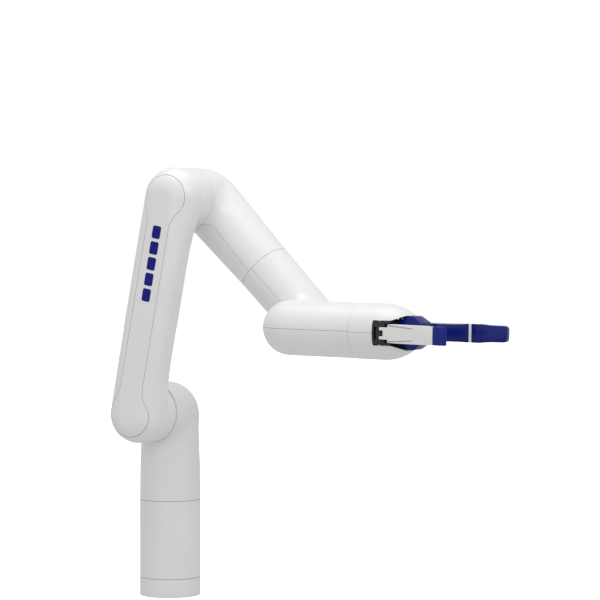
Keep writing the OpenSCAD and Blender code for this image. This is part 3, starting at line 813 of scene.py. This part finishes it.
def lug_pair(side):
    """Two ears of the hinge block, one at each end of a finger's hinge, trimmed to the palm's outline."""
    parts = []
    for s in (-1, 1):
        body = [(SLOT_X + 0.6, 10.8), (HINGE_X + 12, 10.8), (HINGE_X + 12, 16.4), (HINGE_X + 20, 16.4),
                (HINGE_X + 20, 20.6), (HINGE_X + 9, 20.6), (HINGE_X + 7, 19.4), (SLOT_X + 0.6, 19.4)]
        outline = [(x, s * z) for x, z in body]
        ear = prism(rounded(outline, [0.8, 1, 0.5, 0.5, 1.2, 1.2, 1, 1.2], 3), 14, 44.5, "xz")
        parts.append(ear)
        parts.append(prism(circle(HINGE_X, HINGE_Y, 7.4), 9.2 if s > 0 else -12, 12 if s > 0 else -9.2))
    parts.append(box_of((SLOT_X + 0.6, 14, -20), (SLOT_X + 3.2, 44.5, 20)))
    made = union(*parts)
    drum = prism(circle(0, 0, PALM_R - 1.2, 96), SLOT_X - 5, SLOT_X + 60, "yz")
    combine(made, drum, "INTERSECT")
    combine(made, prism(circle(HINGE_X, HINGE_Y, 3.02), -40, 40), "DIFFERENCE")
    bevel(made, 0.5, 2)
    if side < 0:
        made.data.transform(Matrix.Scale(-1, 4, (0, 1, 0)))
        made.data.flip_normals()
    return made


# Black hinge block: a bulkhead across the palm, with a pair of ears at either finger
bulkhead = block((SLOT_X + 0.6, -14.6, -20), (PALM_END - 24, 14.6, 20))
hinge_block = union(bulkhead, lug_pair(1), lug_pair(-1))
settle(hinge_block, "palm_hinge_block", "palm", "frame", IN_PALM, replaced=["palm_frame"], sharp=25)

# Black sheet on the slot floors, following the nose: painted shade in the slots
slot_shade_field = turned([(x, r - 2.2) for x, r in palm_profile])
slot_shade_sheet = new_object("slot_shade_sheet", *nets(slot_shade_field, (SLOT_X - 12, -52, -52), (PALM_END + 14, 52, 52), 3.0))
sides = union(box_of((SLOT_X + 1, 13.4, -20.6), (PALM_END - 3, 15.4, 20.6)),
              box_of((SLOT_X + 1, -15.4, -20.6), (PALM_END - 3, -13.4, 20.6)))
combine(slot_shade_sheet, sides, "INTERSECT")
settle(slot_shade_sheet, "palm_slot_shade_sheet", "palm", "frame", IN_PALM, sharp=30)

# Blue palm pad: a faceted lozenge that swells at both flanks
pad_side = rounded([(PALM_END - 24, -19), (PALM_END - 7, -28.2), (PALM_END + 5, -28.2), (PALM_END + 20, -17),
                    (PALM_END + 20, 17), (PALM_END + 5, 28.2), (PALM_END - 7, 28.2), (PALM_END - 24, 19)],
                   [4, 7, 7, 4, 4, 7, 7, 4], 5)
pad_end = rounded([(-22, -12), (-14, -30), (14, -30), (22, -12), (22, 12), (14, 30), (-14, 30), (-22, 12)],
                  [3, 2, 2, 3, 3, 2, 2, 3], 4)
palm_pad = prism(pad_side, -26, 26, "xz")
combine(palm_pad, prism(pad_end, PALM_END - 40, PALM_END + 40, "yz"), "INTERSECT")
bevel(palm_pad, 1.4, 3, 28)
settle(palm_pad, "palm_pad_skin", "palm", "pad", IN_PALM, replaced=["palm_pad"], sharp=22)

HALF_W = 15.5


def finger_cover():
    """White back cover: a fork at the root, two long grooves and a rail down each side."""
    edge = [(5, 10), (22, 10), (22, 15), (40, HALF_W), (FINGER_L - 13, HALF_W)]
    radii = [1.2, 0.6, 0.8, 0, 0.8]
    outline = rounded([(x, -z) for x, z in edge] + edge[::-1], radii + radii[::-1], 5)
    top = prism(outline, 4, 8.8, "xz")
    rails = [prism(rounded([(23, -3), (FINGER_L - 26, -3), (FINGER_L - 20, 6), (23, 6)], [2, 3, 0, 0], 4),
                   *sorted((s * (HALF_W - 3), s * HALF_W))) for s in (-1, 1)]
    top = union(top, *rails)
    notch = rounded([(-10, -5), (12.5, -5), (12.5, 5), (-10, 5)], [0, 2, 2, 0], 4)
    combine(top, prism(notch, -5, 20, "xz"), "DIFFERENCE")
    combine(top, prism(circle(0, 0, 8), -20, 20), "DIFFERENCE")
    bevel(top, 0.9, 3)
    for s in (-1, 1):
        groove = [(23.5, s * 12.4), (72, s * 9.2), (72, s * 10.8), (23.5, s * 14.2)]
        combine(top, prism(groove, 6.2, 20, "xz"), "DIFFERENCE")
        combine(top, box_of((24, 5.2, min(s * 15.1, s * 17)), (82, 6.2, max(s * 15.1, s * 17))), "DIFFERENCE")
    return top


def waist(x0, x1, ends, middle, steps=14):
    """Edge that dips from ends to middle and back, as (x, half height) pairs."""
    made = []
    for k in range(steps + 1):
        t = k / steps
        made.append((x0 + (x1 - x0) * t, middle + (ends - middle) * abs(2 * t - 1) ** 2.2))
    return made


def finger_pad(near):
    """Blue grip pad on the inner side of a finger, with waisted edges."""
    end = FINGER_L - 19 if near else FINGER_L - 5.0
    edge = waist(32, end, HALF_W + 0.3, HALF_W - 1.3)
    side = edge + [(x, -z) for x, z in edge[::-1]]
    pad = prism(side, -14, 0, "xz")
    if near:
        top = [(32, -4.1), (FINGER_L - 24.2, -4.1), (FINGER_L - 24.2, -6.1), (end, -6.1), (end, -8),
               (FINGER_L - 26, -11.1), (40, -11.1)]
    else:
        top = [(32, -4.1), (FINGER_L - 24.2, -4.1), (FINGER_L - 24.2, -6.2), (end, -6.2), (end, -9.4),
               (end - 6, -10.6), (end - 20, -11.1), (40, -11.1)]
    combine(pad, prism(top, -40, 40), "INTERSECT")
    return bevel(pad, 1.3, 3, 25)


def knuckle():
    """Blue hood over the fingertip hinge: a flat back that rolls over the end."""
    r, y0 = 10.0, TIP_Y
    arc = [(FINGER_L + r * math.sin(t), y0 + r * math.cos(t)) for t in np.linspace(0, math.acos(0.26), 12)]
    outer = prism([(FINGER_L - 12.8, y0 + 2.6), (FINGER_L - 12.8, y0 + r)] + arc, 0.2 - HALF_W, HALF_W - 0.2)
    bevel(outer, 2.4, 3, 40)
    step = prism([(FINGER_L - 0.5, y0 + 2), (FINGER_L - 0.5, y0 + r + 0.7), (FINGER_L + 2.5, y0 + r + 0.5),
                  (FINGER_L + 8.2, y0 + 7.2), (FINGER_L + 10.8, y0 + 2.6), (FINGER_L + 9, y0 + 2)],
                 -HALF_W + 1.4, HALF_W - 1.4)
    bevel(step, 1.1, 3, 25)
    outer = union(outer, step)
    inside = HALF_W - 1.6
    combine(outer, prism(circle(FINGER_L, y0, r - 2), -inside, inside), "DIFFERENCE")
    combine(outer, box_of((FINGER_L - 20, -40, -inside), (FINGER_L, y0 + r - 2, inside)), "DIFFERENCE")
    return outer


TIP_L, TIP_HALF_T = 63.0, 7.0


def tip_pad():
    """Blue fingertip: waisted sides, rounded end corners and a thin root plate."""
    edge = [(14.1, HALF_W + 0.3), (24, 14.8), (34, 14.0), (TIP_L, 13.6)]
    radii = [0.6, 8, 12, 6]
    side = rounded(edge + [(x, -z) for x, z in edge[::-1]], radii + radii[::-1], 5)
    main = bevel(prism(side, -TIP_HALF_T, TIP_HALF_T, "xz"), 1.6, 3, 25)
    root = bevel(box_of((3.2, -TIP_HALF_T, -11.9), (15.4, -5.1, 11.9)), 0.5, 2)
    made = union(main, root)
    combine(made, box_of((12, -4.2, -10.2), (TIP_L - 7.8, 4.2, 10.2)), "DIFFERENCE")
    return made


def front_root():
    """Front plate of the far fingertip's root, as wide as the finger."""
    edge = [(1.5, HALF_W + 0.1), (14.6, HALF_W + 0.2)]
    side = edge + [(x, -z) for x, z in edge[::-1]]
    return bevel(prism(rounded(side, 0.7, 3), -TIP_HALF_T - 0.4, -5.2, "xz"), 0.6, 2)


for near in (True, False):
    name = "near" if near else "far"
    finger, tip = finger_frame(near), tip_frame(near)
    body = name + "_finger"
    settle(finger_cover(), body + "_cover_skin", body, "shell", finger, replaced=[body + "_cover"], sharp=28)
    settle(finger_pad(near), body + "_pad_skin", body, "pad", finger, replaced=[body + "_pad"], sharp=24)
    settle(knuckle(), body + "_knuckle_skin", body, "knuckle", finger, replaced=[body + "_knuckle"], sharp=28)
    body = name + "_tip"
    pad = tip_pad()
    if not near:
        pad = union(pad, front_root())
    settle(pad, body + "_pad_skin", body, "pad", tip, replaced=[body + "_pad"], sharp=24)
    half = 11.6 if near else HALF_W + 0.2
    band = bevel(box_of((-3.6, -7.8, -half), (1.0, -5.3, half)), 0.6, 2)
    settle(band, body + "_band", body, "shell", tip, sharp=28)

# ------------------------------------------------------------------ stage, light and camera

floor_bm = bmesh.new()
bmesh.ops.create_grid(floor_bm, x_segments=8, y_segments=8, size=14.0)
floor = from_bmesh("studio_floor", floor_bm)
g = Graph("floor_paint")
g.put(colour=g.mix(g.spread(g.noise(3.0), 0, 1), (0.86, 0.86, 0.86), (0.9, 0.9, 0.9)),
      roughness=g.spread(g.noise(40.0), 0.75, 0.9), normal=g.bump(g.noise(300.0), 0.05, 0.0005))
floor.data.materials.append(g.material)
g.shader.inputs["Emission Color"].default_value = (1, 1, 1, 1)
g.shader.inputs["Emission Strength"].default_value = 1.0
floor.visible_diffuse = floor.visible_glossy = False

scene = bpy.context.scene
world = bpy.data.worlds.new("studio")
scene.world = world
world.use_nodes = True
tree = world.node_tree
back = tree.nodes["Background"]
back.inputs["Color"].default_value = (1, 1, 1, 1)
seen = tree.nodes.new("ShaderNodeBackground")
seen.inputs["Color"].default_value = (1, 1, 1, 1)
seen.inputs["Strength"].default_value = 1.05
back.inputs["Strength"].default_value = 0.64
ray = tree.nodes.new("ShaderNodeLightPath")
mixer = tree.nodes.new("ShaderNodeMixShader")
tree.links.new(ray.outputs["Is Camera Ray"], mixer.inputs[0])
tree.links.new(back.outputs[0], mixer.inputs[1])
tree.links.new(seen.outputs[0], mixer.inputs[2])
tree.links.new(mixer.outputs[0], tree.nodes["World Output"].inputs["Surface"])


LIGHT_TARGET = (0.2, -0.05, 0.5)


def softbox(name, place, size, power):
    """Round soft light aimed at the middle of the arm. place and size are metres, power is watts."""
    data = bpy.data.lights.new(name, "AREA")
    data.shape, data.size, data.energy = "DISK", size, power
    lamp = bpy.data.objects.new(name, data)
    scene.collection.objects.link(lamp)
    lamp.location = place
    lamp.rotation_euler = (Vector(LIGHT_TARGET) - Vector(place)).to_track_quat("-Z", "Y").to_euler()


softbox("key", (2.6, -1.2, 2.4), 1.8, 20)
softbox("top", (0.1, -0.3, 3.0), 2.2, 30)
softbox("fill", (0.2, -3.2, 0.9), 1.8, 5)

VIEW_DIR = Vector((-0.49375, 0.86961, 0)).normalized()
PITCH = math.radians(0.935)
camera_data = bpy.data.cameras.new("camera")
camera_data.lens, camera_data.sensor_width = 139.7, 36.0
camera = bpy.data.objects.new("camera", camera_data)
scene.collection.objects.link(camera)
camera.location = (2.292, -3.559, 0.604)
look = VIEW_DIR * math.cos(PITCH) - Vector((0, 0, math.sin(PITCH)))
camera.rotation_mode = "QUATERNION"
camera.rotation_quaternion = look.to_track_quat("-Z", "Y")
camera_data.clip_start, camera_data.clip_end = 0.05, 60
scene.camera = camera
scene.view_settings.view_transform = "Standard"
scene.view_settings.look = "None"
